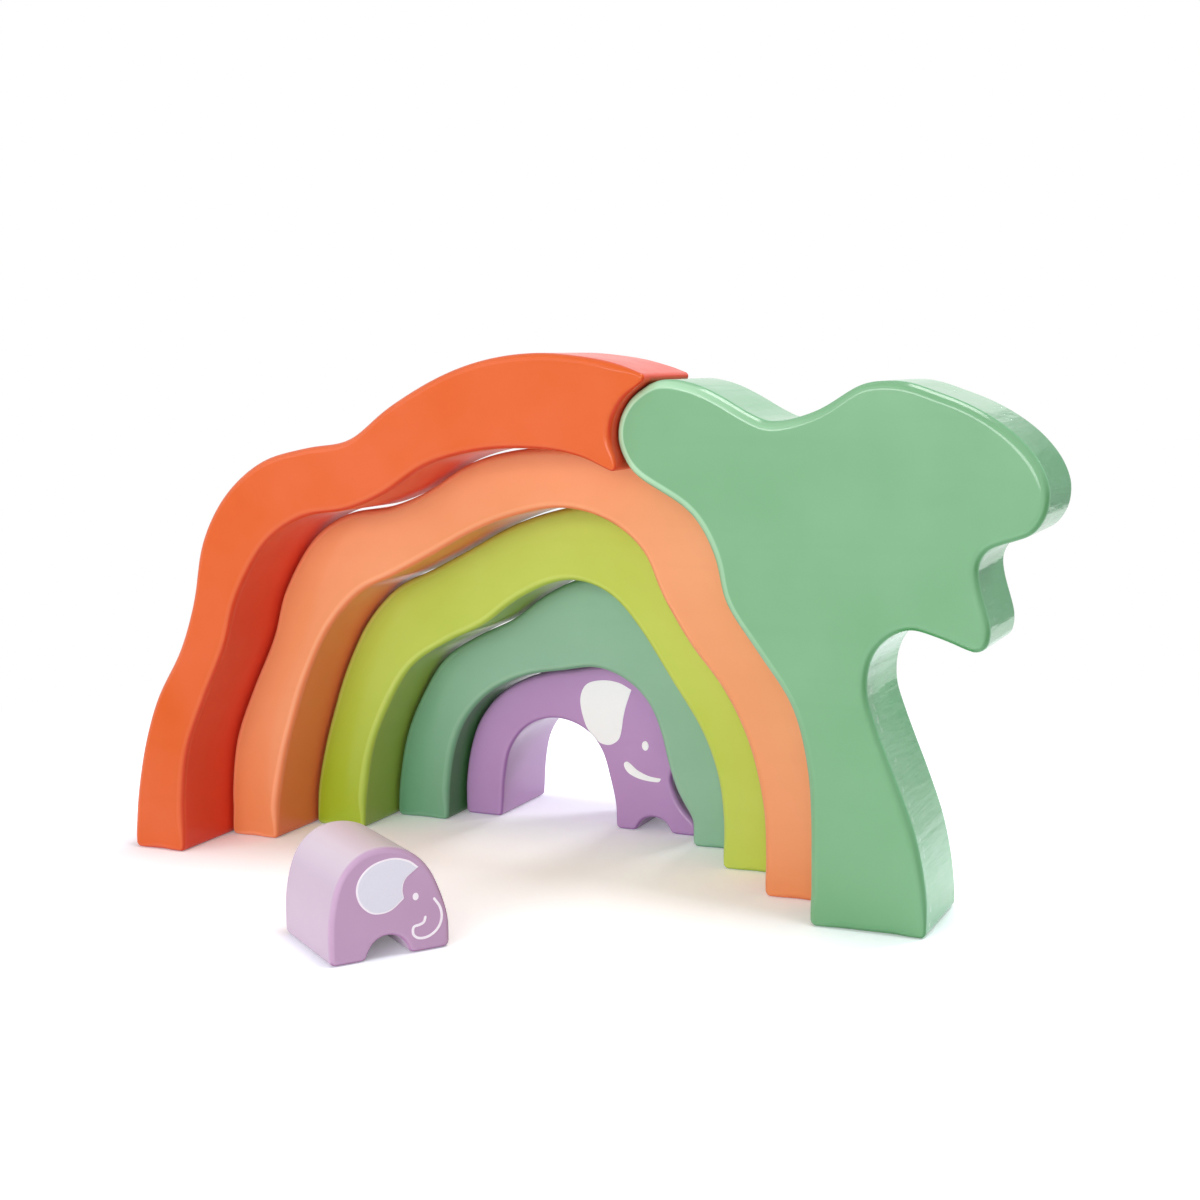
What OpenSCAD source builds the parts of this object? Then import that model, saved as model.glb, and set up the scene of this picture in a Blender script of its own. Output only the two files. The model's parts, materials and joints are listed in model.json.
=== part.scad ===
// Nesting arch block set: four painted wooden arches, a mother elephant that is the innermost
// arch, a baby elephant that fits under her, and a tree that closes the right side of the set.
// Every block is cut from one thickness of board and stands on the floor at z = 0.
// X runs along the fronts of the blocks, Y runs away from the viewer.

/* [Set] */
// Width of the set, from the foot of the hill arch to the tip of the tree's crown
set_w = 340; // [300:1:420]
// Height of the hill arch above the floor
set_h = 184; // [160:1:225]
// Thickness of the board that every block is cut from
depth = 40; // [30:1:50]
// Clearance between two blocks that nest
clearance = 1; // [0.8:0.1:3]
// Clearance between the hill's end and the tree's lobe, which lean on each other
end_clearance = 0.4; // [0.3:0.1:2]
// Radius of the corners of the feet
corner_r = 2; // [1:0.1:4]
// Radius of the corner of the hill's end over the sunset arch
end_r = 3.5; // [2:0.1:4]
// Radius of the hill's tip over the tree
tip_r = 1.5; // [1:0.1:2]

/* [Left legs] */
// Width of the hill arch's leg at the floor
hill_leg = 22.5; // [16:0.5:28]
// Width of the sunset arch's left leg at the floor
sunset_leg = 21; // [15:0.5:25]
// Width of the meadow arch's left leg at the floor
meadow_leg = 22; // [15:0.5:26]
// Width of the forest arch's left leg at the floor
forest_leg = 23; // [15:0.5:27]
// Width of the mother elephant's hind leg at the floor
mother_leg = 16.5; // [13:0.5:20]

/* [Crowns] */
// Thickness of the hill arch at its highest point
hill_crown = 31.5; // [24:0.5:38]
// Thickness of the sunset arch at its highest point
sunset_crown = 21; // [15:0.5:25]
// Thickness of the meadow arch at its highest point
meadow_crown = 28; // [20:0.5:33]
// Thickness of the forest arch at its highest point
forest_crown = 35; // [26:0.5:41]
// Thickness of the mother elephant's back
mother_crown = 22.5; // [18:0.5:27]

/* [Right legs] */
// Width of the sunset arch's right leg at the floor
sunset_right_leg = 23; // [15:0.5:26]
// Width of the meadow arch's right leg at the floor
meadow_right_leg = 24; // [16:0.5:28]
// Width of the forest arch's right leg at the floor
forest_right_leg = 20; // [14:0.5:24]
// Width of the mother elephant's foreleg and trunk at the floor
mother_front = 36.5; // [30:0.5:44]
// Width of the mother elephant's foreleg alone
foreleg_w = 9; // [8:0.5:11]
// Width of the gap between her foreleg and the tip of her trunk
trunk_gap_w = 14; // [10:0.5:17]
// Height of that gap
trunk_gap_h = 6; // [4:0.5:8]

/* [Tree] */
// Reach of the tree's crown to the right of the trunk's left foot
tree_reach = 73.5; // [60:0.5:90]
// Width of the trunk at the floor
trunk_w = 38; // [30:0.5:45]

/* [Baby elephant] */
// Length of the baby elephant
baby_w = 40; // [34:0.5:50]
// Height of the baby elephant
baby_h = 35; // [29:0.5:42]
// Width of the gap between its legs
baby_gap_w = 14; // [11:0.5:17]
// Height of that gap
baby_gap_h = 7; // [5:0.5:9]
// Distance of its hind leg from the hill arch's left foot, along the row
baby_x = 146; // [60:1:200]
// Distance that it stands in front of the hill arch
baby_ahead = 90; // [60:1:140]
// Turn of the baby elephant from the direction of the row
baby_turn = 54; // [0:1:90]

/* [Standing places] */
// Step back from the hill arch's front to the tree's front
tree_back = 4; // [0:1:39]
// Step back from the hill arch's front to the sunset arch's front
sunset_back = 29; // [0:1:39]
// Step back from the sunset arch's front to the meadow arch's front
meadow_back = 26; // [0:1:39]
// Step back from the meadow arch's front to the forest arch's front
forest_back = 24; // [0:1:39]
// Step back from the forest arch's front to the mother elephant's front
mother_back = 13; // [0:1:39]

/* [Hidden] */
// Straight pieces in each stretch of a curve, in a rounded corner and in a gap between two feet
curve_steps = 5;
corner_steps = 4;
foot_gap_steps = 9;
// Share of a straight stretch that a rounded corner may take, alone on it or with a corner at each end
own_share = 0.9;
split_share = 0.45;
half_gap = clearance / 2;

// Feet and tops of the lines that the blocks are cut along, midway between two neighbours
hill_line_left = hill_leg + half_gap;
hill_line_right = set_w - tree_reach - half_gap;
hill_line_top = set_h - hill_crown - half_gap;
sunset_line_left = hill_line_left + clearance + sunset_leg;
sunset_line_right = hill_line_right - clearance - sunset_right_leg;
sunset_line_top = hill_line_top - clearance - sunset_crown;
meadow_line_left = sunset_line_left + clearance + meadow_leg;
meadow_line_right = sunset_line_right - clearance - meadow_right_leg;
meadow_line_top = sunset_line_top - clearance - meadow_crown;
forest_line_left = meadow_line_left + clearance + forest_leg;
forest_line_right = meadow_line_right - clearance - forest_right_leg;
forest_line_top = meadow_line_top - clearance - forest_crown;
belly_left = forest_line_left + half_gap + mother_leg;
belly_right = forest_line_right - half_gap - mother_front;
belly_top = forest_line_top - half_gap - mother_crown;

// Shapes of those lines from the left foot over the top to the right foot, as [x, z].
// Each is stretched between its own feet and up to its own top.
hill_shape = [
    [23, 0], [23, 16], [26, 38], [34, 57], [45, 79], [51, 97], [64, 117], [80, 127], [98, 130],
    [114, 136], [131, 146], [150, 151], [170, 152], [186, 150], [201.5, 144], [213, 139], [225, 131],
    [232.5, 118], [236.5, 103], [247.5, 87], [258.5, 71], [263.5, 52], [265, 30], [265, 0]
];
// Which point of hill_shape is the meeting point of the hill, the sunset arch and the tree
meeting = 14;
sunset_shape = [
    [45, 0], [45, 12], [49, 31], [54, 47], [61, 65], [71, 83], [85, 97], [100, 104], [116, 112],
    [133, 121], [150, 127], [168, 130], [185, 126], [198, 116], [205, 101], [215, 85], [227, 70],
    [236, 52], [241, 32], [242, 14], [242, 0]
];
meadow_shape = [
    [68, 0], [68, 11], [72, 32], [80, 50], [91, 66], [107, 76], [122, 83], [136, 93], [151, 100],
    [163, 101], [175, 96], [186, 84], [198, 66], [209, 49], [215, 33], [217, 16], [217, 0]
];
forest_shape = [
    [92, 0], [92, 12], [95, 29], [101, 42], [112, 53], [127, 60], [143, 63], [157, 65], [169, 61],
    [178, 53], [183, 42], [186, 30], [190, 19], [196, 9], [196, 0]
];
// Which point of forest_shape is the last one that the mother's brow follows
brow = 11;
belly_shape = [
    [109, 0], [110, 14], [113, 28], [121, 38], [133, 42], [145, 39], [153, 31], [157, 18], [159, 8],
    [159, 0]
];
// The hill's outer line, from its foot to the tip over the tree
skyline_shape = [
    [0, 0], [0, 9], [2, 24], [6, 41], [13, 59], [24, 77], [31, 95], [36, 117], [47, 135], [63, 147],
    [82, 152], [100, 155], [116, 166], [135, 176], [154, 182], [174, 184], [194, 182], [206, 179],
    [214, 176]
];
// The hill's concave end, from the meeting point up to the tip
end_shape = [
    [0, 0], [-0.2, 5.5], [-1.7, 9.5], [-2.1, 13.5], [-1.5, 17.5], [0.2, 21.5], [3.4, 25.7],
    [7.7, 28.8], [11.6, 32]
];
// Which points of end_shape are the first and the last one that the tree's lobe follows
lobe_start = 2;
lobe_end = 7;
// The turn from the underside of the lobe up to the first of them, measured from the meeting point
lobe_turn = [[5.8, -1.1], [2.2, 2.2], [0.1, 5.6]];
// The tree's crown, from the last of them round to the neck of the trunk
crown_shape = [
    [210, 173], [214, 174.5], [219, 175], [225, 174], [231, 172], [238, 168.5], [246, 164],
    [254, 161.5], [268, 165], [281, 172.5], [289, 174], [297, 173.5], [306, 170.5], [315, 167],
    [324, 162], [331, 156.5], [336.5, 150], [339.5, 143.5], [340, 139], [339, 133.5], [335, 128],
    [328.5, 125.5], [322, 123], [319, 118], [319.5, 112], [321.5, 105], [323, 99], [322, 93.5],
    [318, 91.5], [311, 94], [305, 96], [299, 97.5], [293.5, 96], [288, 91.5], [285, 85], [284.5, 76]
];
// The right side of the trunk, from the neck to the foot
flank_shape = [
    [284.5, 76], [287, 67.5], [291, 57], [295.5, 46], [300.5, 32], [303.5, 18], [304.5, 8], [304.5, 0]
];
// The outer side of the mother's trunk, measured from the foot of the forest line
trunk_shape = [[-13.5, 22], [-12, 16], [-9, 10.5], [-4, 5.5], [-2, 0]];
// The baby elephant, from its hind foot over its back to its trunk
baby_shape = [
    [0, 0], [0, 10], [1, 18], [4, 27], [10, 33], [18, 35], [27, 33], [34, 27], [38, 19], [41, 9],
    [41, 0]
];
// Where the middle of the gap between its legs lies along its length
baby_gap_share = 0.48;

// Points of a shape stretched between two feet and up to a height
function widest(p) = max([for (q = p) q[0]]);
function highest(p) = max([for (q = p) q[1]]);
function placed(p, left, right, top) =
    let (first = p[0][0], wide = p[len(p) - 1][0] - first, high = highest(p))
    [for (q = p) [left + (q[0] - first) * (right - left) / wide, q[1] * top / high]];

// A smooth curve through points, straight in its first and in its last stretch
function along(a, b, c, d, t) =
    0.5 * (2 * b + (c - a) * t + (2 * a - 5 * b + 4 * c - d) * t * t + (3 * b - a - 3 * c + d) * t * t * t);
function curve(p) = concat(
    [p[0]],
    [for (i = [1 : len(p) - 3]) for (s = [0 : curve_steps - 1])
        along(p[i - 1], p[i], p[i + 1], p[i + 2], s / curve_steps)],
    [p[len(p) - 2], p[len(p) - 1]]
);
// Index on the curve of one of the points that it goes through
function on_curve(i) = 1 + (i - 1) * curve_steps;

// Lists: a stretch of one, and one turned end for end
function stretch(p, from, to) = [for (i = [from : to]) p[i]];
function turned(p) = [for (i = [len(p) - 1 : -1 : 0]) p[i]];

// A curve moved sideways, to the left of the way that it runs
function heading(a, b) = (b - a) / norm(b - a);
function beside(p, d) = [for (i = [0 : len(p) - 1])
    let (h = heading(p[max(i - 1, 0)], p[min(i + 1, len(p) - 1)]))
    p[i] + d * [-h[1], h[0]]];

// A corner, as a point with its radius, and an outline with its corners rounded
function corner(p, r = corner_r) = [p[0], p[1], r];
function flat(p) = [p[0], p[1]];
function is_corner(p) = len(p) == 3;
function room(p, next) = norm(flat(next) - flat(p)) * (is_corner(next) ? split_share : own_share);
function arc(before, at, after) =
    let (
        b = flat(at),
        u = heading(b, flat(before)),
        v = heading(b, flat(after)),
        opening = acos(u * v),
        reach = min(at[2] / tan(opening / 2), room(at, before), room(at, after)),
        bend = reach * tan(opening / 2),
        middle = b + heading([0, 0], u + v) * bend / sin(opening / 2),
        start = b + u * reach - middle,
        turn = (180 - opening) * sign(u[1] * v[0] - u[0] * v[1])
    )
    [for (s = [0 : corner_steps]) let (t = turn * s / corner_steps)
        middle + [start[0] * cos(t) - start[1] * sin(t), start[0] * sin(t) + start[1] * cos(t)]];
function rounded(p) = [for (i = [0 : len(p) - 1])
    let (before = p[(i + len(p) - 1) % len(p)], after = p[(i + 1) % len(p)])
    each is_corner(p[i]) ? arc(before, p[i], after) : [p[i]]];

// An arch between two curves that both run from the left foot to the right foot
function arch(outer, inner) =
    let (n = len(outer) - 1, m = len(inner) - 1)
    rounded(concat(
        [corner(outer[0])], stretch(outer, 1, n - 1), [corner(outer[n])],
        [corner(inner[m])], stretch(turned(inner), 1, m - 1), [corner(inner[0])]
    ));

// The gap between two feet, from its right end to its left end
function foot_gap(left, w, h) = concat(
    [corner([left + w, 0])],
    [for (s = [1 : foot_gap_steps - 1]) let (a = 180 * s / foot_gap_steps)
        [left + w / 2 + w / 2 * cos(a), h * sin(a)]],
    [corner([left, 0])]
);

// A block cut through the board along an outline
module block(outline) {
    translate([0, depth, 0]) rotate([90, 0, 0]) linear_extrude(depth) polygon(outline);
}

// The lines in place
hill_line = curve(placed(hill_shape, hill_line_left, hill_line_right, hill_line_top));
sunset_line = curve(placed(sunset_shape, sunset_line_left, sunset_line_right, sunset_line_top));
meadow_line = curve(placed(meadow_shape, meadow_line_left, meadow_line_right, meadow_line_top));
forest_line = curve(placed(forest_shape, forest_line_left, forest_line_right, forest_line_top));
belly_line = curve(placed(belly_shape, belly_left, belly_right, belly_top));
meeting_point = hill_line[on_curve(meeting)];
tip_offset = end_shape[len(end_shape) - 1];
tip_shape = skyline_shape[len(skyline_shape) - 1];
tip = [meeting_point[0] + tip_offset[0], tip_shape[1] * set_h / highest(skyline_shape)];
end_rise = (tip[1] - meeting_point[1]) / tip_offset[1];
function from_meeting(q) = meeting_point + [q[0], q[1] * end_rise];
end_line = curve([for (q = end_shape) from_meeting(q)]);

// Places of the fronts along Y, with the set's footprint centred on the origin
mother_from_hill = sunset_back + meadow_back + forest_back + mother_back;
hill_y = (baby_ahead - mother_from_hill - depth) / 2;
tree_y = hill_y + tree_back;
sunset_y = hill_y + sunset_back;
meadow_y = sunset_y + meadow_back;
forest_y = meadow_y + forest_back;
mother_y = forest_y + mother_back;

// Stands a block in its place along Y
module standing(y) {
    translate([-set_w / 2, y, 0]) children();
}

// Outer half arch, with a foot on the left and a concave end on the right
module hill_arch() {
    skyline = curve(placed(skyline_shape, 0, tip[0], set_h));
    inner = beside(stretch(hill_line, 0, on_curve(meeting)), half_gap);
    end = beside(end_line, end_clearance / 2);
    n = len(inner) - 1;
    outline = rounded(concat(
        [corner(skyline[0])], stretch(skyline, 1, len(skyline) - 2), [corner(tip, tip_r)],
        stretch(turned(end), 1, len(end) - 2), [corner(inner[n], end_r)],
        stretch(turned(inner), 1, n - 1), [corner(inner[0])]
    ));
    color("orangered") standing(hill_y) block(outline);
}

// Second arch
module sunset_arch() {
    color("sandybrown") standing(sunset_y)
        block(arch(beside(hill_line, -half_gap), beside(sunset_line, half_gap)));
}

// Third arch
module meadow_arch() {
    color("yellowgreen") standing(meadow_y)
        block(arch(beside(sunset_line, -half_gap), beside(meadow_line, half_gap)));
}

// Fourth arch
module forest_arch() {
    color("mediumseagreen") standing(forest_y)
        block(arch(beside(meadow_line, -half_gap), beside(forest_line, half_gap)));
}

// Innermost arch: hind leg, back, brow, trunk, and a gap between trunk and foreleg
module mother_elephant() {
    back = stretch(beside(forest_line, -half_gap), 0, on_curve(brow));
    spread = (forest_line_right - forest_line_left) / (widest(forest_shape) - forest_shape[0][0]);
    rise = forest_line_top / highest(forest_shape);
    trunk = [for (q = trunk_shape) [forest_line_right + q[0] * spread, q[1] * rise]];
    face = curve(concat([back[len(back) - 2], back[len(back) - 1]], trunk));
    gap = foot_gap(belly_right + foreleg_w, trunk_gap_w, trunk_gap_h);
    n = len(belly_line) - 1;
    outline = rounded(concat(
        [corner(back[0])], stretch(back, 1, len(back) - 2), stretch(face, 1, len(face) - 2),
        [corner(trunk[len(trunk) - 1])], gap, [corner(belly_line[n])],
        stretch(turned(belly_line), 1, n - 1), [corner(belly_line[0])]
    ));
    color("mediumpurple") standing(mother_y) block(outline);
}

// Small elephant
module baby_elephant() {
    back = curve(placed(baby_shape, 0, baby_w, baby_h));
    gap = foot_gap(baby_w * baby_gap_share - baby_gap_w / 2, baby_gap_w, baby_gap_h);
    n = len(back) - 1;
    outline = rounded(concat(
        [corner(back[0])], stretch(back, 1, n - 1), [corner(back[n])], gap
    ));
    color("plum") standing(hill_y - baby_ahead) translate([baby_x, 0, 0]) rotate(baby_turn) block(outline);
}

// Tree that stands against the sunset arch and reaches over it into the hill's end
module tree() {
    left = beside(stretch(hill_line, on_curve(meeting + 1), len(hill_line) - 1), half_gap);
    lobe = stretch(beside(end_line, -end_clearance / 2), on_curve(lobe_start), on_curve(lobe_end));
    turn = curve(concat(
        [left[1], left[0]], [for (q = lobe_turn) from_meeting(q)], [lobe[0], lobe[curve_steps]]
    ));
    start = lobe[len(lobe) - 1];
    stretch_x = (set_w - start[0]) / (widest(crown_shape) - crown_shape[0][0]);
    crown = [for (q = crown_shape) [
        start[0] + (q[0] - crown_shape[0][0]) * stretch_x,
        q[1] * set_h / highest(skyline_shape)
    ]];
    neck = crown[len(crown) - 1];
    foot = [set_w - tree_reach + trunk_w, 0];
    flank = placed(flank_shape, neck[0], foot[0], neck[1]);
    top = curve(concat(
        [lobe[len(lobe) - 1 - curve_steps], start], stretch(crown, 1, len(crown) - 1),
        stretch(flank, 1, len(flank) - 1)
    ));
    outline = rounded(concat(
        [corner(left[len(left) - 1])], stretch(turned(left), 1, len(left) - 2),
        stretch(turn, 1, len(turn) - 3), stretch(lobe, 0, len(lobe) - 2),
        stretch(top, 1, len(top) - 2), [corner(foot)]
    ));
    color("mediumaquamarine") standing(tree_y) block(outline);
}

hill_arch();
sunset_arch();
meadow_arch();
forest_arch();
mother_elephant();
baby_elephant();
tree();
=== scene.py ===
"""Nesting arch block set: five painted wooden arches, the innermost an elephant, with a calf and a tree.

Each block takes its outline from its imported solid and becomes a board-thick piece with sanded, rounded
edges. The elephants' faces are thin ink prints on their fronts. Lengths are in metres unless a name says mm.
"""

import json
import math
from collections import namedtuple

import bpy
import numpy as np
from mathutils import Matrix, Vector
from mathutils.geometry import delaunay_2d_cdt


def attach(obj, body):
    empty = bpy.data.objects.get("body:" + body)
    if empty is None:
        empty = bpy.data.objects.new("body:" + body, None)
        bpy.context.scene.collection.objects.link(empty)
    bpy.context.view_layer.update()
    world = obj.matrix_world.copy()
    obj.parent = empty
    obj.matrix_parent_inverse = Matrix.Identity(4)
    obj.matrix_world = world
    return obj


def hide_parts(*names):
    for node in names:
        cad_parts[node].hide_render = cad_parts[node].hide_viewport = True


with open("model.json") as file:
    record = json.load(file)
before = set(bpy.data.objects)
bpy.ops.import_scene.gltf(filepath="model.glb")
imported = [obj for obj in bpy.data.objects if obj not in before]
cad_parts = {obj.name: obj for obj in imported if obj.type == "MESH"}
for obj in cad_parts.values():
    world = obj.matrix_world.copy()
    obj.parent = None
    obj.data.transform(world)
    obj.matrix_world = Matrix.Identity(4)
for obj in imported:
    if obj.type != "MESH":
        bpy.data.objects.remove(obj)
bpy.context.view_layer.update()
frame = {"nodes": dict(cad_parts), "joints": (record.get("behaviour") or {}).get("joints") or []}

MM = 0.001
UP = np.array((0, 0, 1))

# Block shapes
OUTLINE_STEP = 0.8 * MM       # distance between two points of a block's outline
FEWEST_POINTS = 12            # points that a small outline has at least
BEND_BLUR = 2.0 * MM          # how far the sanding softens the outline's long bends
CORNER_BLUR = 0.5 * MM        # and its corners
BEND_SHIFT = 0.12 * MM        # a point that the first would move less than this is on a bend
CORNER_SHIFT = 0.4 * MM       # and one that it would move more than this is on a corner
CORNER_GAIN = 1.5             # how strongly a corner holds its neighbours
BELL_SPAN = 3                 # widths of a bell that count, on each side of its middle
EDGE_RINGS = 7                # rings of points across one rounded edge
SIDE_RINGS = 3                # rings of points across the side, between the two rounded edges
SMALLEST_EDGE = 0.5 * MM      # rounding where a corner has no room for more
FIT_SHARE = 0.85              # share of the room at a sharp corner that its rounded edge may take
FIT_TRIES = 12                # radii that are tried there
FIT_SPREAD = 3                # points on each side that a smaller radius spreads to
SANDING = ((0.05, 97 * MM, 0.4), (0.04, 41 * MM, 1.9))   # unevenness of the edge: share, length, phase
SAME_PLACE = 0.02 * MM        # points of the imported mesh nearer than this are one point


def srgb(red, green, blue):
    """A colour as it is seen on a screen, 0 to 255, as the linear values that shaders take."""
    def linear(c):
        c /= 255
        return c / 12.92 if c <= 0.04045 else ((c + 0.055) / 1.055) ** 2.4
    return (linear(red), linear(green), linear(blue), 1.0)


Finish = namedtuple("Finish", [
    "face",      # colour of the front and the back
    "side",      # colour of the cut side, set apart from the face's to paint light and shade on the sides
    "edge",      # rounding of the edges
    "pale",      # how strong the painted highlight on the edges is at the left end
    "fade",      # share of the width over which that fades
    "lacquer",   # weight of the lacquer
    "deep",      # how much painted shade lies on the left leg
    "foot",      # and the painted shade towards the feet
    "crest",     # how much painted light lies on the side where it faces up
    "nicks",     # how strongly the side is nicked and rippled
    "turn",      # how far the board is turned about the upright axis
], defaults=[0.0] * 5)

BABY_WALK = next(j["axis"] for j in frame["joints"] if j["child"] == "baby_elephant")
BABY_TURN = math.atan2(BABY_WALK[1], BABY_WALK[0])

FINISHES = {
    "hill_arch": Finish(srgb(224, 93, 18), srgb(240, 78, 50), 2.6 * MM, pale=0.04, fade=1.0, lacquer=0.38),
    "sunset_arch": Finish(srgb(239, 156, 103), srgb(255, 134, 84), 2.6 * MM, pale=0.12, fade=0.9,
                          lacquer=0.5, deep=0.3, foot=0.55),
    "meadow_arch": Finish(srgb(186, 208, 76), srgb(166, 194, 84), 2.6 * MM, pale=0.14, fade=1.0,
                          lacquer=0.5, deep=1.0),
    "forest_arch": Finish(srgb(138, 186, 155), srgb(80, 141, 84), 2.6 * MM, pale=0.08, fade=0.9,
                          lacquer=0.5, deep=1.0),
    "mother_elephant": Finish(srgb(183, 142, 194), srgb(186, 146, 193), 2.0 * MM, pale=0.05, fade=1.2,
                              lacquer=0.5),
    "baby_elephant": Finish(srgb(196, 159, 194), srgb(214, 193, 214), 1.8 * MM, pale=0.06, fade=1.2,
                            lacquer=0.0, crest=0.5, turn=BABY_TURN),
    "tree": Finish(srgb(117, 174, 126), srgb(112, 186, 132), 3.0 * MM, pale=0.50, fade=0.52,
                   lacquer=0.8, foot=0.35, nicks=0.3),
}


# Outlines

def board_axes(turn):
    """The directions along a board's front and back through its thickness."""
    return np.array((math.cos(turn), math.sin(turn), 0)), np.array((-math.sin(turn), math.cos(turn), 0))


def front_outline(node, turn):
    """The loop of (along, up) points round a packed block's front, and the depths of its front and back."""
    mesh = frame["nodes"][node].data
    mesh.calc_loop_triangles()
    points = np.array([v.co for v in mesh.vertices])
    along, inward = board_axes(turn)
    depth = points @ inward
    front = depth.min()
    flat = np.stack((points @ along, points[:, 2]), 1)
    keys = [tuple(k) for k in np.round(flat / SAME_PLACE).astype(int)]
    edges = {}
    for triangle in mesh.loop_triangles:
        corners = list(triangle.vertices)
        if max(depth[corners]) - front < SAME_PLACE:
            for a, b in zip(corners, corners[1:] + corners[:1]):
                edges[keys[a], keys[b]] = flat[a]
    border = {a: (b, place) for (a, b), place in edges.items() if (b, a) not in edges}
    start = next(iter(border))
    loop, at = [], start
    while not loop or at != start:
        at, place = border[at]
        loop.append(place)
    return np.array(loop), front, depth.max()


def resampled(loop, step):
    """Points evenly spaced round a closed loop, anticlockwise."""
    x, z = loop.T
    if np.sum(x * np.roll(z, -1) - np.roll(x, -1) * z) < 0:
        loop = loop[::-1]
    closed = np.vstack((loop, loop[:1]))
    reach = np.concatenate(([0], np.cumsum(np.linalg.norm(np.diff(closed, axis=0), axis=1))))
    count = max(FEWEST_POINTS, round(reach[-1] / step))
    at = np.arange(count) * reach[-1] / count
    return np.stack([np.interp(at, reach, closed[:, k]) for k in (0, 1)], 1)


def blurred(values, width):
    """Values round a loop, averaged with their neighbours under a bell of that width in points."""
    span = int(BELL_SPAN * width) + 1
    total = np.zeros_like(values, dtype=float)
    weight = 0
    for k in range(-span, span + 1):
        w = math.exp(-0.5 * (k / width) ** 2)
        total += w * np.roll(values, k, axis=0)
        weight += w
    return total / weight


def sanded(loop):
    """A loop softened along its bends, and less at its corners."""
    bends = blurred(loop, BEND_BLUR / OUTLINE_STEP)
    corners = blurred(loop, CORNER_BLUR / OUTLINE_STEP)
    shift = np.linalg.norm(bends - loop, axis=1)
    sharp = np.clip((shift - BEND_SHIFT) / (CORNER_SHIFT - BEND_SHIFT), 0, 1)
    share = np.minimum(1, CORNER_GAIN * blurred(sharp, BEND_BLUR / OUTLINE_STEP))[:, None]
    return bends * (1 - share) + corners * share


def outward(loop):
    """Unit vectors that point out of an anticlockwise loop."""
    run = np.roll(loop, -1, axis=0) - np.roll(loop, 1, axis=0)
    run /= np.linalg.norm(run, axis=1)[:, None]
    return np.stack((run[:, 1], -run[:, 0]), 1)


def edge_radii(loop, normals, radius):
    """The rounding at each point: the radius, or less where a sharp corner has no room for it."""
    room = np.full(len(loop), SMALLEST_EDGE)
    for reach in np.linspace(SMALLEST_EDGE, radius / FIT_SHARE, FIT_TRIES):
        centres = loop - reach * normals
        nearest = np.linalg.norm(centres[:, None] - loop[None], axis=2).min(1)
        room = np.where(nearest > reach - 2 * SAME_PLACE, np.maximum(room, reach), room)
    fitted = np.minimum(radius, FIT_SHARE * room)
    for k in range(1, FIT_SPREAD + 1):
        fitted = np.minimum(fitted, np.minimum(np.roll(fitted, k), np.roll(fitted, -k)))
    return blurred(fitted, FIT_SPREAD)


def unevenness(count, step):
    """Slow changes of the rounding round a block, as a sander leaves them."""
    place = np.arange(count) * step
    length = count * step
    total = np.ones(count)
    for share, wave, phase in SANDING:
        turns = max(1, round(length / wave))
        total += share * np.sin(2 * math.pi * turns * place / length + phase)
    return total


def to_frame(flat, depth, turn):
    """Points from (along, up) and depth to the shared frame."""
    along, inward = board_axes(turn)
    return flat[:, :1] * along + np.asarray(depth).reshape(-1, 1) * inward + flat[:, 1:] * UP


def block_mesh(name, node, turn, edge):
    """A board-thick block with rounded front and back edges, and what a print on its front needs to know.

    The mesh's attribute "side" is 0 on its faces and rises over the rounded edges to 1 on its side.
    """
    loop, front, back = front_outline(node, turn)
    loop = sanded(resampled(loop, OUTLINE_STEP))
    loop[:, 1] = np.maximum(loop[:, 1], 0)
    normals = outward(loop)
    count = len(loop)
    radii = edge_radii(loop, normals, edge) * unevenness(count, OUTLINE_STEP)
    along, inward = board_axes(turn)
    lean = normals[:, :1] * along + normals[:, 1:] * UP
    places, facing, side = [], [], []

    def add_edge(angles, face, way):
        """Rings over the rounded edge of the face at that depth. Way is 1 in front and -1 behind."""
        for a in angles:
            flat = loop - (radii * (1 - math.sin(a)))[:, None] * normals
            places.append(to_frame(flat, face + way * radii * (1 - math.cos(a)), turn))
            facing.append(math.sin(a) * lean - way * math.cos(a) * inward)
            side.append(np.full(count, 2 * a / math.pi))

    angles = np.linspace(0, math.pi / 2, EDGE_RINGS)
    add_edge(angles, front, 1)
    for k in range(1, SIDE_RINGS + 1):
        share = k / (SIDE_RINGS + 1)
        places.append(to_frame(loop, (front + radii) * (1 - share) + (back - radii) * share, turn))
        facing.append(lean)
        side.append(np.ones(count))
    add_edge(angles[::-1], back, -1)

    rings = len(places)
    faces = [list(range(count)), list(range((rings - 1) * count, rings * count))[::-1]]
    for k in range(rings - 1):
        for i in range(count):
            j = (i + 1) % count
            faces.append((k * count + i, (k + 1) * count + i, (k + 1) * count + j, k * count + j))
    mesh = bpy.data.meshes.new(name)
    mesh.from_pydata(np.concatenate(places).tolist(), [], faces)
    mesh.attributes.new("side", "FLOAT", "POINT").data.foreach_set("value", np.concatenate(side))
    mesh.shade_smooth()
    mesh.normals_split_custom_set_from_vertices(np.concatenate(facing).tolist())
    return mesh, loop, radii, front


# Materials

WHITE = (1.0, 1.0, 1.0, 1.0)
BLACK = (0.0, 0.0, 0.0, 1.0)
RISING = (0.0, 1.0)
FALLING = (1.0, 0.0)

# Patterns that follow the board: repeats per metre along it, through it and upwards
EVEN = (1, 1, 1)
GRAIN = (10, 160, 160)
RIPPLES = (520, 60, 520)
WAVES = (130, 9, 130)
NICKS = (400, 240, 320)

# Patterns that are alike in every direction: repeats per metre
MOTTLE = 22.0                 # broad changes of tone
WEAR_AND_HIGHLIGHT = 60.0                   # uneven wear and gloss, and the unevenness of the painted highlight on the edges
PEEL = 700.0                  # fine dimples of the lacquer

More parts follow.
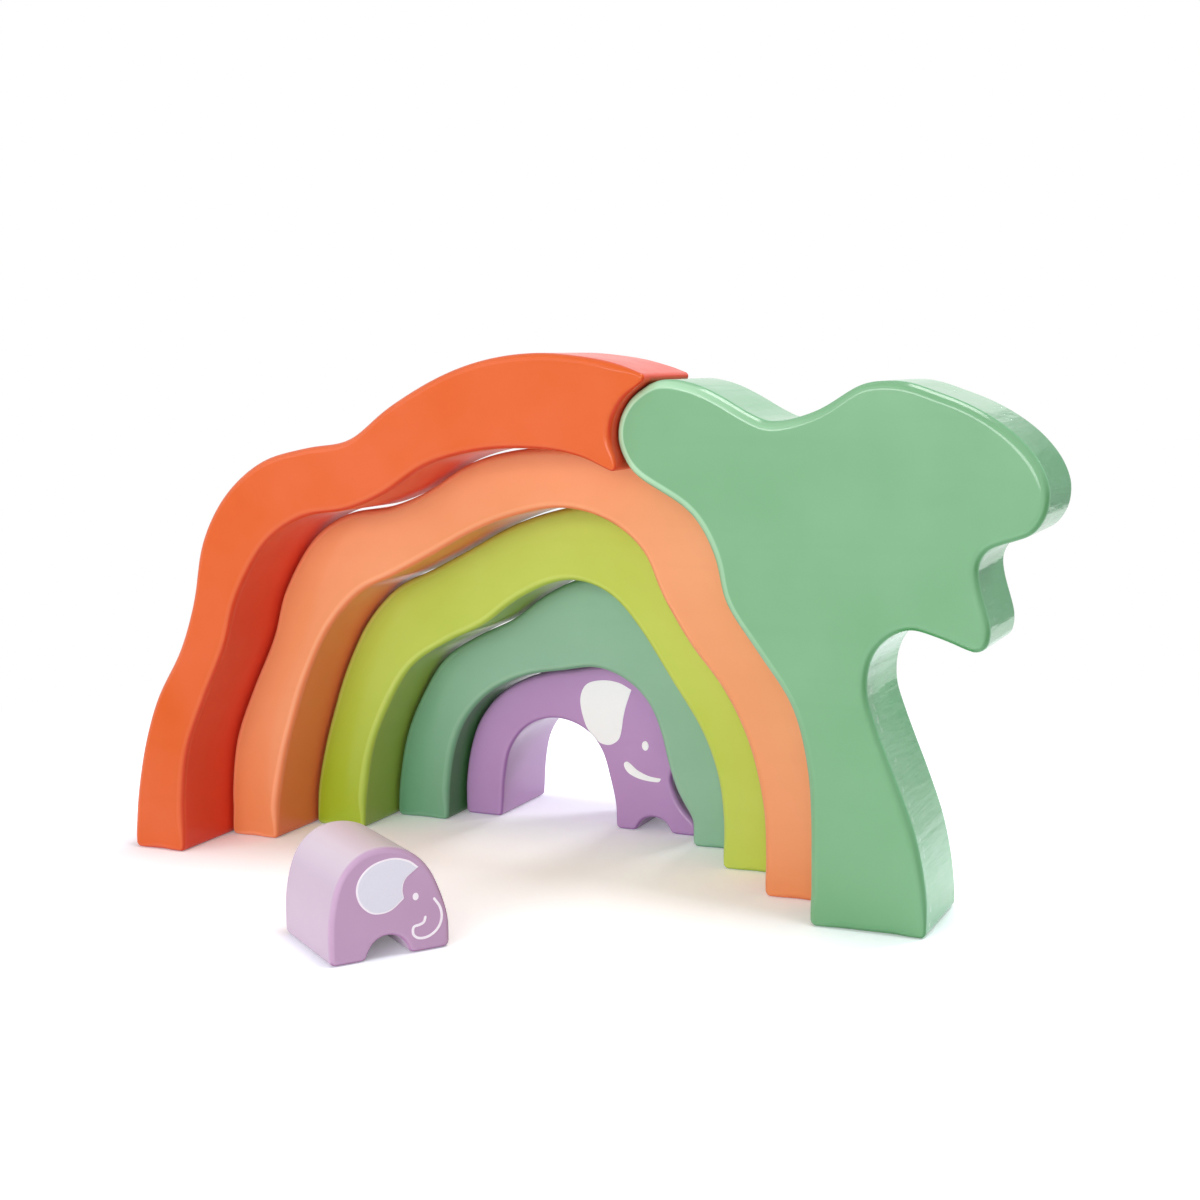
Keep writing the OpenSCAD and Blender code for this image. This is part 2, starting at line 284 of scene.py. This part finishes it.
# Tints: how much lighter than its colour, or darker where below 0, a part of the paint is
FACE_TINTS = (-0.05, 0.03)    # the mottled faces, from and to
GRAIN_TINT = -0.10
SIDE_TINT = -0.06             # the mottled sides, at their darkest
# painted light on the sides that face up
TOP_LIGHT_TINT = 0.7
NICK_TINT = 0.6
# painted highlight on the edges
HIGHLIGHT_TINT = 0.5

# Values of a pattern between which its effect comes in
MIDDLE = (0.3, 0.7)
GRAIN_SPAN = (0.55, 0.75)
NICK_SPAN = (0.58, 0.68)
GRAIN_SHOWS = 0.2             # how clearly the grain shows through
HIGHLIGHT_LEVELS = (0.8, 1.0)      # how unevenly the painted highlight lies on the edges
ROUGHNESS = (0.30, 0.42)      # how unevenly the paint shines

# Where things start and end on the way from a face, 0, over its rounded edge to the side, 1
HIGHLIGHT_STARTS = (0.0, 0.12)     # the painted highlight on the edge
HIGHLIGHT_ENDS = (0.5, 0.85)
SHADED_RIM_STARTS = (0.3, 0.5)       # the rim with painted shade
SHADED_RIM_ENDS = (0.7, 0.9)
SIDE_STARTS = (0.6, 1.0)      # the paint of the side

# Shares of a surface's direction between which it counts as facing a way
TOP_LIGHT_SPAN = (0.3, 0.9)       # up, for the painted light on top
NICK_WAY = (0.5, 0.8)         # right, for the nicks
SHADED_EDGE_WAY = (0.55, 0.0, -0.83)   # the way that edges face where painted shade lies on them
SHADED_EDGE_SPAN = (0.1, 0.5)

# Painted shade and nicks
SHADE_POWER = 1.45             # how much deeper and fuller painted shade makes a colour
LEG_SHADE_SHARE = 0.42              # share of the span between the ends that the painted shade on the left leg takes
LEG_SHADE_SPAN = (20 * MM, 90 * MM)   # heights between which the painted shade on the left leg fades out
FOOT_SHADE_SPAN = (0.0, 60 * MM)    # and the painted shade on the feet
NICKS_START = (4 * MM, 5 * MM)   # distances behind the front between which the nicks come in
NICKS_END = (5 * MM, 14 * MM)   # and die out

# Heights of the bumps, as shares of their depth
GRAIN_HIGH = 0.35
PEEL_HIGH = 0.10
WAVES_HIGH = 3.0              # the long waves in the sanding ripples, against the short ones
RIPPLE_HIGH = 0.45            # the ripples on a smooth side
RIPPLE_GAIN = 25              # and how many times that a fully nicked side adds

PAINT_SPECULAR = 0.12
LACQUER_ROUGHNESS = 0.14

# Ink: repeats per metre, tints and roughness
INK_MOTTLE = 1500.0
INK_WEAR = 300.0
INK_TINTS = (-0.05, 0.05)
INK_ROUGHNESS = (0.35, 0.5)


class Nodes:
    """Adds nodes to a material or a world and joins them."""

    def __init__(self, holder):
        holder.use_nodes = True
        self.holder = holder
        self.tree = holder.node_tree

    def add(self, kind, inputs=None, **settings):
        node = self.tree.nodes.new(kind)
        for key, value in settings.items():
            setattr(node, key, value)
        for key, value in (inputs or {}).items():
            self.put(node.inputs[key], value)
        return node

    def put(self, socket, value):
        """Joins an output to an input, or sets the input to a plain value."""
        if isinstance(value, bpy.types.NodeSocket):
            self.tree.links.new(value, socket)
        else:
            socket.default_value = value

    def shade(self, name, value):
        self.put(self.tree.nodes["Principled BSDF"].inputs[name], value)

    def noise(self, where, scale=1.0, detail=2.0):
        inputs = {"Vector": where, "Scale": scale, "Detail": detail}
        return self.add("ShaderNodeTexNoise", inputs).outputs["Fac"]

    def math(self, operation, a, b):
        return self.add("ShaderNodeMath", {0: a, 1: b}, operation=operation).outputs[0]

    def ranged(self, value, span, to=RISING):
        """A value that runs from one end of a range to the other while another crosses its span."""
        keys = ("Value", "From Min", "From Max", "To Min", "To Max")
        return self.add("ShaderNodeMapRange", dict(zip(keys, (value, *span, *to)))).outputs[0]

    def band(self, value, start, end):
        """1 between a start and an end, and 0 outside them."""
        return self.math("MULTIPLY", self.ranged(value, start), self.ranged(value, end, FALLING))

    def mixed(self, factor, a, b, blend="MIX"):
        node = self.add("ShaderNodeMix", data_type="RGBA", blend_type=blend)
        self.put(node.inputs["Factor"], factor)
        colour_a, colour_b = [i for i in node.inputs if i.type == "RGBA"]
        self.put(colour_a, a)
        self.put(colour_b, b)
        return next(o for o in node.outputs if o.type == "RGBA")

    def bump(self, height, strength, depth):
        inputs = {"Height": height, "Strength": strength, "Distance": depth}
        return self.add("ShaderNodeBump", inputs).outputs[0]

    def parts(self, vector):
        return self.add("ShaderNodeSeparateXYZ", {0: vector}).outputs

    def place(self):
        return self.add("ShaderNodeTexCoord").outputs["Object"]

    def stretched(self, turn, scale):
        """Object coordinates turned with the board and stretched, so that a pattern follows the board."""
        turned = self.add("ShaderNodeMapping", {"Vector": self.place(), "Rotation": (0, 0, -turn)}).outputs[0]
        return self.add("ShaderNodeMapping", {"Vector": turned, "Scale": scale}).outputs[0]

    def seen(self):
        """1 for what is seen, mirrored or looked through, and 0 for the light that is passed on."""
        path = self.add("ShaderNodeLightPath").outputs
        seen = self.math("MAXIMUM", path["Is Camera Ray"], path["Is Glossy Ray"])
        return self.math("MAXIMUM", seen, path["Is Transmission Ray"])


def tinted(colour, amount):
    """A colour made lighter by an amount above 0, or darker by one below."""
    if amount >= 0:
        return tuple(c + (1 - c) * amount for c in colour[:3]) + (1.0,)
    return tuple(c * (1 + amount) for c in colour[:3]) + (1.0,)


def in_painted_shade(colour):
    """A colour as painted shade shows it: deeper and fuller."""
    return tuple(c ** SHADE_POWER for c in colour[:3]) + (1.0,)


def painted_wood(name, finish, ends, front):
    """Satin lacquer on wood, with painted light and shade. The painted highlight on its edges fades between
    the ends, and front is its front's depth.
    """
    n = Nodes(bpy.data.materials.new(name))
    colour, side_paint_and_light, turn = finish.face, finish.side, finish.turn
    even = n.stretched(turn, EVEN)
    where = n.parts(even)
    facing = n.add("ShaderNodeNewGeometry").outputs["Normal"]
    way = n.parts(facing)
    side = n.add("ShaderNodeAttribute", attribute_name="side").outputs["Fac"]
    on_side = n.ranged(side, SIDE_STARTS)
    mottle = n.ranged(n.noise(even, MOTTLE, detail=3.0), MIDDLE)
    grain = n.noise(n.stretched(turn, GRAIN), detail=4.0)
    wear_and_highlight = n.noise(even, WEAR_AND_HIGHLIGHT, detail=3.0)

    # Mottled faces with a little grain, and sides in a colour of their own that paints light and shade on
    # them, with painted light where they face up
    tone = n.mixed(mottle, tinted(colour, FACE_TINTS[0]), tinted(colour, FACE_TINTS[1]))
    tone = n.mixed(n.ranged(grain, GRAIN_SPAN, (0.0, GRAIN_SHOWS)), tone, tinted(colour, GRAIN_TINT))
    cut = n.mixed(mottle, tinted(side_paint_and_light, SIDE_TINT), side_paint_and_light)
    cut = n.mixed(n.ranged(way["Z"], TOP_LIGHT_SPAN, (0.0, finish.crest)), cut, tinted(side_paint_and_light, TOP_LIGHT_TINT))
    tone = n.mixed(on_side, tone, cut)

    # Painted shade on the left leg, towards the feet and on the rounded edges that face right and down
    leg_shade_ends = (ends[0], ends[0] + (ends[1] - ends[0]) * LEG_SHADE_SHARE)
    leg_shade = n.ranged(where["X"], leg_shade_ends, (finish.deep, 0.0))
    leg_shade = n.math("MULTIPLY", leg_shade, n.ranged(where["Z"], LEG_SHADE_SPAN, FALLING))
    foot = n.ranged(where["Z"], FOOT_SHADE_SPAN, (finish.foot, 0.0))
    tone = n.mixed(n.math("SUBTRACT", n.math("MAXIMUM", leg_shade, foot), on_side), tone, in_painted_shade(colour))
    # painted shade on the rounded edges that face right and down
    shade_facing = n.add("ShaderNodeVectorMath", {0: facing, 1: SHADED_EDGE_WAY}, operation="DOT_PRODUCT")
    shade_facing = n.ranged(shade_facing.outputs["Value"], SHADED_EDGE_SPAN)
    rim = n.math("MULTIPLY", n.band(side, SHADED_RIM_STARTS, SHADED_RIM_ENDS), shade_facing)
    tone = n.mixed(rim, tone, in_painted_shade(colour))

    # Nicks in the sides that face right, near the front
    near = n.band(n.math("SUBTRACT", where["Y"], front), NICKS_START, NICKS_END)
    nicks = n.ranged(n.noise(n.stretched(turn, NICKS)), NICK_SPAN, (0.0, finish.nicks))
    nicks = n.math("MULTIPLY", n.math("MULTIPLY", nicks, near), n.ranged(way["X"], NICK_WAY))
    tone = n.mixed(nicks, tone, tinted(side_paint_and_light, NICK_TINT))

    # Painted highlight on the edges, lightest at the left end and made uneven by the noise
    painted_highlight = n.math("MULTIPLY", n.band(side, HIGHLIGHT_STARTS, HIGHLIGHT_ENDS), n.ranged(wear_and_highlight, MIDDLE, HIGHLIGHT_LEVELS))
    painted_highlight = n.math("MULTIPLY", painted_highlight, n.ranged(where["X"], ends, (finish.pale, 0.0)))
    n.shade("Base Color", n.mixed(painted_highlight, tone, tinted(colour, HIGHLIGHT_TINT), "ADD"))

    # Gloss, with grain and dimples all over and sanding ripples on the side
    waves = n.math("MULTIPLY", n.noise(n.stretched(turn, WAVES), detail=1.0), WAVES_HIGH)
    ripple = n.math("ADD", n.noise(n.stretched(turn, RIPPLES)), waves)
    ripple_high = RIPPLE_HIGH * (1 + RIPPLE_GAIN * finish.nicks)
    ripple = n.math("MULTIPLY", n.math("MULTIPLY", ripple, on_side), ripple_high)
    peel = n.math("MULTIPLY", n.noise(even, PEEL, detail=1.0), PEEL_HIGH)
    height = n.math("ADD", n.math("MULTIPLY", grain, GRAIN_HIGH), peel)
    normal = n.bump(n.math("ADD", height, ripple), strength=0.25, depth=0.2 * MM)
    n.shade("Normal", normal)
    n.shade("Coat Normal", normal)
    n.shade("Roughness", n.ranged(wear_and_highlight, MIDDLE, ROUGHNESS))
    n.shade("Specular IOR Level", PAINT_SPECULAR)
    n.shade("Coat Weight", finish.lacquer)
    n.shade("Coat Roughness", LACQUER_ROUGHNESS)
    return n.holder


def ink(name, colour):
    """Printed ink: nearly even, with the fine mottle of a pad print."""
    n = Nodes(bpy.data.materials.new(name))
    where = n.place()
    mottle = n.noise(where, INK_MOTTLE)
    n.shade("Base Color", n.mixed(mottle, tinted(colour, INK_TINTS[0]), tinted(colour, INK_TINTS[1])))
    n.shade("Roughness", n.ranged(n.noise(where, INK_WEAR), MIDDLE, INK_ROUGHNESS))
    n.shade("Normal", n.bump(mottle, strength=0.15, depth=0.05 * MM))
    return n.holder


def add_object(name, mesh, material):
    piece = bpy.data.objects.new(name, mesh)
    mesh.materials.append(material)
    bpy.context.scene.collection.objects.link(piece)
    return piece


# Blocks

fronts = {}
for node, finish in FINISHES.items():
    kind = node.split("_")[0]
    mesh, loop, radii, front = block_mesh(kind + "_block", node, finish.turn, finish.edge)
    left, right = loop[:, 0].min(), loop[:, 0].max()
    material = painted_wood(kind + "_paint", finish, (left, left + (right - left) * finish.fade), front)
    piece = add_object(kind + "_block", mesh, material)
    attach(piece, node)
    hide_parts(node)
    fronts[node] = (loop, radii, front, finish.turn)


# Prints

INK_LIFT = 0.12 * MM          # ink stands this far off the paint
SECOND_LIFT = 1.5 * INK_LIFT  # and this far where it is printed over other ink
INK_DEPTH = 0.25 * MM         # its rim reaches this far back, into the paint
INK_GRID = 0.9 * MM           # distance between two points inside a print
CURVE_STEPS = 8               # steps of a curve from one of its points to the next
INSIDE_ONLY = 1               # the triangulation's choice to fill just the inside of an outline
MERGE_WITHIN = 1e-7           # and the distance within which it takes two points for one


def through(points):
    """A smooth open curve through points."""
    p = np.array([2 * np.array(points[0]) - points[1], *points, 2 * np.array(points[-1]) - points[-2]], float)
    curve = []
    for a, b, c, d in zip(p, p[1:], p[2:], p[3:]):
        for t in np.arange(CURVE_STEPS) / CURVE_STEPS:
            curve.append(0.5 * (2 * b + (c - a) * t + (2 * a - 5 * b + 4 * c - d) * t ** 2
                                + (3 * b - a - 3 * c + d) * t ** 3))
    return np.array(curve + [p[-2]])


def joined(*stretches):
    """A closed outline of smooth stretches that meet in corners."""
    return np.concatenate([through(s)[:-1] for s in stretches])


def ellipse(centre, half_wide, half_high):
    turns = np.linspace(0, 2 * math.pi, 3 * CURVE_STEPS, endpoint=False)
    return np.array(centre) + np.stack((half_wide * np.cos(turns), half_high * np.sin(turns)), 1)


def stroke(points, width):
    """The outline of a line of that width with round ends."""
    line = through(points)
    run = np.gradient(line, axis=0)
    run /= np.linalg.norm(run, axis=1)[:, None]
    left = np.stack((-run[:, 1], run[:, 0]), 1) * width / 2

    def cap(at, way, across):
        turns = np.linspace(0, math.pi, CURVE_STEPS)[1:-1]
        return np.array([at + across * math.cos(t) + way * width / 2 * math.sin(t) for t in turns])
    return np.concatenate((line - left, cap(line[-1], run[-1], -left[-1]), (line + left)[::-1],
                           cap(line[0], -run[0], left[0])))


def dip(flat, loop, radii):
    """How far a block's front lies back at points near its rounded edge."""
    gap = np.linalg.norm(flat[:, None] - loop[None], axis=2)
    nearest = gap.argmin(1)
    radius = radii[nearest]
    short = np.clip(radius - gap[np.arange(len(flat)), nearest], 0, radius)
    return radius - np.sqrt(radius ** 2 - short ** 2)


def filled(outline):
    """Points on and inside an outline, and the triangles between them."""
    low, high = outline.min(0), outline.max(0)
    across, up = (np.arange(low[k], high[k], INK_GRID) for k in (0, 1))
    points = [Vector(p) for p in [*outline, *((x, z) for x in across for z in up)]]
    count = len(outline)
    ring = [(i, (i + 1) % count) for i in range(count)]
    sites, _, faces, *_ = delaunay_2d_cdt(points, ring, [], INSIDE_ONLY, MERGE_WITHIN)
    used = sorted({v for f in faces for v in f})
    index = {v: i for i, v in enumerate(used)}
    return np.array([tuple(sites[v]) for v in used]), [[index[v] for v in f] for f in faces]


def print_on(node, name, outline_mm, material, lift=INK_LIFT):
    """A thin ink print on a block's front. Its outline is in mm from the block's left end and the floor."""
    loop, radii, front, turn = fronts[node]
    outline = resampled(outline_mm * MM, INK_GRID / 2) + np.array((loop[:, 0].min(), 0))
    sites, faces = filled(outline)
    top = front - lift + dip(sites, loop, radii)
    edges = {(a, b) for f in faces for a, b in zip(f, f[1:] + f[:1])}
    border = [(a, b) for a, b in edges if (b, a) not in edges]
    base = len(sites)
    places = np.concatenate((to_frame(sites, top, turn), to_frame(sites, top + lift + INK_DEPTH, turn)))
    walls = [(a, base + a, base + b, b) for a, b in border]
    backs = [[base + v for v in f[::-1]] for f in faces]
    mesh = bpy.data.meshes.new(name)
    mesh.from_pydata(places.tolist(), [], faces + walls + backs)
    piece = add_object(name, mesh, material)
    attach(piece, node)


WHITE_INK = ink("white_ink", srgb(250, 253, 255))
PALE_INK = ink("pale_ink", srgb(228, 226, 240))
ROSE_INK = ink("rose_ink", srgb(254, 246, 255))

MOTHER_EAR = joined(
    [(74, 55.5), (68.5, 58), (61.5, 58.5), (55, 56.5), (52.3, 51), (53.2, 44), (56, 37.5), (60, 34),
     (64.5, 33.2), (68.3, 35.5), (69.7, 39.5), (70.5, 44.5), (71.8, 49.5), (74, 55.5)],
)
MOTHER_EYE = ellipse(centre=(79.6, 34), half_wide=1.4, half_high=1.9)
MOTHER_TUSK = joined(
    [(86, 21.6), (81, 22.2), (76.5, 24), (73.5, 26.3), (71.8, 27.2), (70.6, 26.4), (71, 24.4), (73, 22.4),
     (76.7, 20.9), (81, 20.2), (85, 20.2), (86, 21.6)],
)
print_on("mother_elephant", "mother_ear", MOTHER_EAR, WHITE_INK)
print_on("mother_elephant", "mother_eye", MOTHER_EYE, WHITE_INK)
print_on("mother_elephant", "mother_tusk", MOTHER_TUSK, WHITE_INK)

EAR_SHARE = 0.94              # size of the pale print on the calf's ear, against its rose rim
BABY_EAR_RIM = joined(
    [(29.7, 27.3), (26.5, 29.8), (21.3, 31.3), (15, 30.3), (10.8, 27.3), (9, 23), (10, 18.5), (13, 15.3),
     (16.5, 14.3), (20.5, 15), (24.6, 18)],
    [(24.6, 18), (24.2, 21), (25.4, 24.2), (29.7, 27.3)],
)
EAR_MIDDLE = BABY_EAR_RIM.mean(0)
BABY_EAR = EAR_MIDDLE + (BABY_EAR_RIM - EAR_MIDDLE) * EAR_SHARE
BABY_EYE = ellipse(centre=(28.5, 18), half_wide=1.0, half_high=1.2)
BABY_TRUNK = stroke(
    [(34.7, 16.4), (36.6, 13.4), (37.1, 10.4), (36.3, 7.6), (34.4, 5.6), (31.8, 4.5), (29, 4.7), (27.4, 6.2),
     (27.6, 8.4), (29.4, 8.8), (31, 9.4), (31.6, 11)],
    width=0.8,
)
print_on("baby_elephant", "baby_ear_rim", BABY_EAR_RIM, ROSE_INK)
print_on("baby_elephant", "baby_ear", BABY_EAR, PALE_INK, SECOND_LIFT)
print_on("baby_elephant", "baby_eye", BABY_EYE, ROSE_INK)
print_on("baby_elephant", "baby_trunk_line", BABY_TRUNK, ROSE_INK)


# Stage

FLOOR_SIZE = 8.0
FLOOR_COLOUR = (0.93, 0.92, 0.95, 1.0)
FLOOR_SEEN = (1.57, 1.63, 1.73, 1.0)   # the floor where it is seen: brighter, so that it reads as white
FLOOR_GLOW = 0.15             # share of plain white in the floor near the set, where it is seen
WHITE_SPAN = (0.16, 0.45)     # distances from the set over which that rises to all of it
CONTACT_REACH = 0.06          # how far round the feet the floor darkens in a painted contact shadow
CONTACT_OPEN = (0.3, 1.0)     # over this range of how open the floor lies
CONTACT_DARK = 0.70           # and how bright the painted contact shadow leaves it right under the feet
CONTACT_SAMPLES = 8
FLAG_SIDES = (0.1, 0.39)      # the dark card's left and right end
FLAG_AWAY = 0.8               # its distance behind the set's middle
FLAG_HIGH = 0.45              # its height
FLAG_FADE = 0.6               # share of that at which it starts to fade into the white surround
FLAG_DARK = 0.1               # how bright it is below
SENSOR_WIDTH_MM = 36


def card(name, corners, material):
    """A flat card with four corners."""
    mesh = bpy.data.meshes.new(name)
    mesh.from_pydata(corners, [], [(0, 1, 2, 3)])
    return add_object(name, mesh, material)


def stage_floor():
    """A white floor that keeps the shadows near the set, with a painted contact shadow round the feet, and
    fades into the white surround.
    """
    n = Nodes(bpy.data.materials.new("floor_white"))
    away = n.add("ShaderNodeVectorMath", {0: n.place()}, operation="LENGTH").outputs["Value"]
    seen = n.seen()
    fade = n.math("MULTIPLY", seen, n.ranged(away, WHITE_SPAN, (FLOOR_GLOW, 1.0)))
    reach = {"Distance": CONTACT_REACH}
    # A painted contact shadow: where it is seen, the floor darkens where little is open round it
    open_share = n.add("ShaderNodeAmbientOcclusion", reach, samples=CONTACT_SAMPLES).outputs["AO"]
    seen_with_contact_shadow = n.mixed(1.0, FLOOR_SEEN, n.ranged(open_share, CONTACT_OPEN, (CONTACT_DARK, 1.0)), "MULTIPLY")
    matte = n.add("ShaderNodeBsdfDiffuse", {"Color": n.mixed(seen, FLOOR_COLOUR, seen_with_contact_shadow)})
    glow = n.add("ShaderNodeEmission", {"Color": WHITE, "Strength": 1.0})
    mix = n.add("ShaderNodeMixShader", {"Fac": fade, 1: matte.outputs[0], 2: glow.outputs[0]})
    n.put(n.tree.nodes["Material Output"].inputs["Surface"], mix.outputs[0])
    h = FLOOR_SIZE / 2
    floor = card("floor", [(-h, -h, 0), (h, -h, 0), (h, h, 0), (-h, h, 0)], n.holder)


def dark_flag():
    """A dark card low behind the set's right end, seen only as a reflection in the glossy sides."""
    n = Nodes(bpy.data.materials.new("flag_dark"))
    height = n.parts(n.place())["Z"]
    n.shade("Base Color", BLACK)
    n.shade("Emission Color", WHITE)
    n.shade("Emission Strength", n.ranged(height, (FLAG_FADE * FLAG_HIGH, FLAG_HIGH), (FLAG_DARK, 1.0)))
    left, right = FLAG_SIDES
    corners = [(left, 0), (right, 0), (right, FLAG_HIGH), (left, FLAG_HIGH)]
    flag = card("flag", [(x, FLAG_AWAY, z) for x, z in corners], n.holder)
    flag.visible_camera = False
    flag.visible_diffuse = False
    flag.visible_shadow = False


def softbox(name, place, aim, wide, high, level, mirrored=True):
    """An area lamp that lights a surface facing it at its aim to that share of the surface's own colour."""
    place, aim = Vector(place), Vector(aim)
    lamp = bpy.data.lights.new(name, "AREA")
    lamp.shape = "RECTANGLE"
    lamp.size, lamp.size_y = wide, high
    lamp.energy = math.pi ** 2 * (place - aim).length_squared * level
    holder = bpy.data.objects.new(name, lamp)
    holder.location = place
    holder.rotation_euler = (aim - place).to_track_quat("-Z", "Y").to_euler()
    holder.visible_glossy = mirrored
    bpy.context.scene.collection.objects.link(holder)


def white_world(level):
    """An even white surround, at full white where it is seen or mirrored."""
    world = bpy.data.worlds.new("surround")
    n = Nodes(world)
    ground = n.tree.nodes["Background"].inputs
    n.put(ground["Color"], WHITE)
    n.put(ground["Strength"], n.ranged(n.seen(), (0.0, 1.0), (level, 1.0)))
    bpy.context.scene.world = world


def add_camera(place_mm, yaw, pitch, roll, lens_mm):
    """A camera at the photograph's viewing angle. Degrees: yaw turns right, pitch down, roll clockwise."""
    yaw, pitch, roll = (math.radians(a) for a in (yaw, pitch, roll))
    forward = Vector((math.sin(yaw) * math.cos(pitch), math.cos(yaw) * math.cos(pitch), -math.sin(pitch)))
    right = Vector((math.cos(yaw), -math.sin(yaw), 0))
    down = forward.cross(right)
    across = math.cos(roll) * right + math.sin(roll) * down
    up = math.sin(roll) * right - math.cos(roll) * down
    data = bpy.data.cameras.new("camera")
    data.lens = lens_mm
    data.sensor_width = SENSOR_WIDTH_MM
    camera = bpy.data.objects.new("camera", data)
    turn = Matrix((across, up, -forward)).transposed().to_4x4()
    camera.matrix_world = Matrix.Translation(Vector(place_mm) * MM) @ turn
    bpy.context.scene.collection.objects.link(camera)
    bpy.context.scene.camera = camera


MIDDLE_OF_SET = (0, 0, 0.08)
LOW_IN_SET = (0, 0, 0.05)

stage_floor()
white_world(level=0.2)
softbox("key", (-0.594, -0.914, 0.708), MIDDLE_OF_SET, wide=1.0, high=1.0, level=0.20)
softbox("front", (0.1, -1.6, 0.45), MIDDLE_OF_SET, wide=1.4, high=0.5, level=0.56)
softbox("top", (0.35, 0.0, 1.4), MIDDLE_OF_SET, wide=0.5, high=0.5, level=0.4)
softbox("back", (0.0, 1.3, 0.36), LOW_IN_SET, wide=0.3, high=0.2, level=0.45, mirrored=False)
softbox("right", (0.7, 0.9, 0.7), MIDDLE_OF_SET, wide=0.3, high=0.3, level=0.42, mirrored=False)
dark_flag()
add_camera(place_mm=(270.3, -553.2, 181.1), yaw=-24.66, pitch=7.57, roll=0.75, lens_mm=54)
bpy.context.scene.view_settings.view_transform = "Standard"
